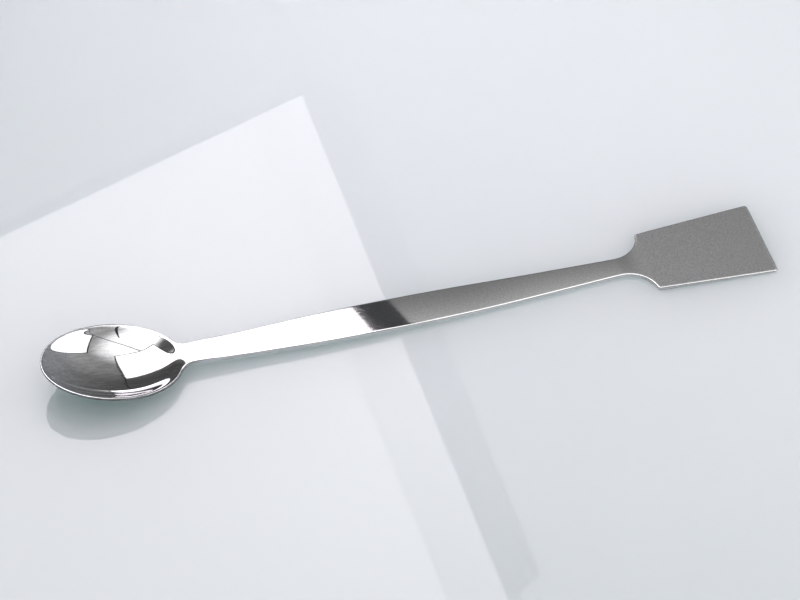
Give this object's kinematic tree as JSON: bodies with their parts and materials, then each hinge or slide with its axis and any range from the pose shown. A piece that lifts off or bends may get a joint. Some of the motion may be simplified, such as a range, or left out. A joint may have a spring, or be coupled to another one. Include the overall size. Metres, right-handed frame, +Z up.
{
  "type": "laboratory spatula",
  "caption": "Solid steel laboratory spatula with an oval spoon bowl, a flat tapered handle and a flat square-ended blade, for scooping and spreading powders.",
  "frame": {"origin": "centre of the tool's outline on the bench that it lies on", "axes": "+X along the tool from the bowl to the blade, +Z up, with the bowl opening upwards"},
  "size_m": [0.18, 0.0242, 0.0096],
  "materials": {
    "steel": "polished"
  },
  "bodies": {
    "root": {"spatula": "steel"}
  },
  "joints": []
}
